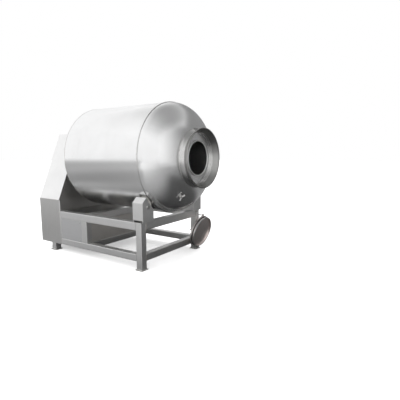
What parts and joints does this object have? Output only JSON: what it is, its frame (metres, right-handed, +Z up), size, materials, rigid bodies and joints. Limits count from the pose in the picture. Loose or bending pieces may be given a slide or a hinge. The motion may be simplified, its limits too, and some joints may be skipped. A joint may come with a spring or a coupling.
{
  "type": "meat vacuum tumbler",
  "caption": "Stainless vacuum tumbler: a horizontal dished drum with a flared loading mouth, turning on a tube frame with support rollers, drive hood and a hung lid.",
  "frame": {"origin": "on the floor at the centre of the four foot sockets, below the drum axis", "axes": "+X along the drum axis towards the loading mouth, +Z up, the lid hangs on the +Y front leg"},
  "size_m": [2.2635, 1.32, 1.8382],
  "materials": {
    "frame_steel": "satin stainless tube, glass-bead blasted",
    "panel_steel": "brushed stainless sheet",
    "drum_steel": "satin polished stainless shell",
    "lid_steel": "satin stainless, turned",
    "bright_steel": "machined stainless",
    "drive_paint": "machine paint",
    "union_brass": "machined brass",
    "gland_plastic": "black nylon",
    "roller_plastic": "white machined polyamide",
    "gasket_rubber": "black food-grade rubber"
  },
  "bodies": {
    "frame": {"leg_front_left": "frame_steel", "leg_front_right": "frame_steel", "leg_rear_left": "frame_steel", "leg_rear_right": "frame_steel", "foot_plates": "frame_steel", "side_rail_top_left": "frame_steel", "side_rail_top_right": "frame_steel", "side_rail_bottom_left": "frame_steel", "side_rail_bottom_right": "frame_steel", "front_rail_top": "frame_steel", "front_rail_bottom": "frame_steel", "bay_rail_top": "frame_steel", "bay_rail_bottom": "frame_steel", "rear_rail_bottom": "frame_steel", "side_post_left": "frame_steel", "side_post_right": "frame_steel", "side_panel_left": "panel_steel", "side_panel_right": "panel_steel", "bulkhead": "panel_steel", "deck": "panel_steel", "pump_floor": "panel_steel", "housing_side_left": "panel_steel", "housing_side_right": "panel_steel", "rear_panel": "panel_steel", "hood_shell": "panel_steel", "hood_front_plate": "panel_steel", "shaft_bearing": "drive_paint", "gear_reducer": "drive_paint", "drive_motor": "drive_paint", "rotary_union": "union_brass", "vacuum_pipe": "bright_steel", "vacuum_pump": "drive_paint", "panel_screws": "bright_steel", "cable_gland": "gland_plastic", "roller_box_left": "panel_steel", "roller_box_right": "panel_steel", "roller_axle_left": "bright_steel", "roller_axle_right": "bright_steel", "lid_hanger": "bright_steel"},
    "drum": {"drum_cylinder": "drum_steel", "front_head": "drum_steel", "rear_head": "drum_steel", "seam_band": "drum_steel", "neck_ring": "drum_steel", "mouth_seat": "drum_steel", "mouth_collar": "drum_steel", "lifting_flights": "drum_steel", "rear_hub": "bright_steel", "drive_shaft": "bright_steel", "hub_bolts": "bright_steel", "valve_body": "bright_steel"},
    "roller_left": {"roller_tyre_left": "roller_plastic", "roller_hub_left": "bright_steel"},
    "roller_right": {"roller_tyre_right": "roller_plastic", "roller_hub_right": "bright_steel"},
    "valve_lever": {"valve_lever": "bright_steel"},
    "lid": {"lid_disc": "lid_steel", "lid_gasket": "gasket_rubber", "lid_handle": "bright_steel"}
  },
  "joints": [
    {"name": "drum_spin", "type": "hinge", "parent": "frame", "child": "drum", "pos_m": [0, 0, 1.208], "axis": [1, 0, 0], "continuous": true},
    {"name": "roller_left_spin", "type": "hinge", "parent": "frame", "child": "roller_left", "pos_m": [0.7525, -0.472, 0.69066], "axis": [1, 0, 0], "continuous": true},
    {"name": "roller_right_spin", "type": "hinge", "parent": "frame", "child": "roller_right", "pos_m": [0.7525, 0.472, 0.69066], "axis": [1, 0, 0], "continuous": true},
    {"name": "valve_turn", "type": "hinge", "parent": "drum", "child": "valve_lever", "pos_m": [1.06368, -0.22138, 0.80364], "axis": [0.8517, -0.2516, -0.4596], "range_deg": [0, 90]},
    {"name": "lid_slide", "type": "slide", "parent": "frame", "child": "lid", "axis": [1, 0, 0], "range_m": [0, 0.12]}
  ],
  "couplings": [
    {"joint": "roller_left_spin", "follows": "drum_spin", "ratio": -8.3333},
    {"joint": "roller_right_spin", "follows": "drum_spin", "ratio": -8.3333}
  ]
}
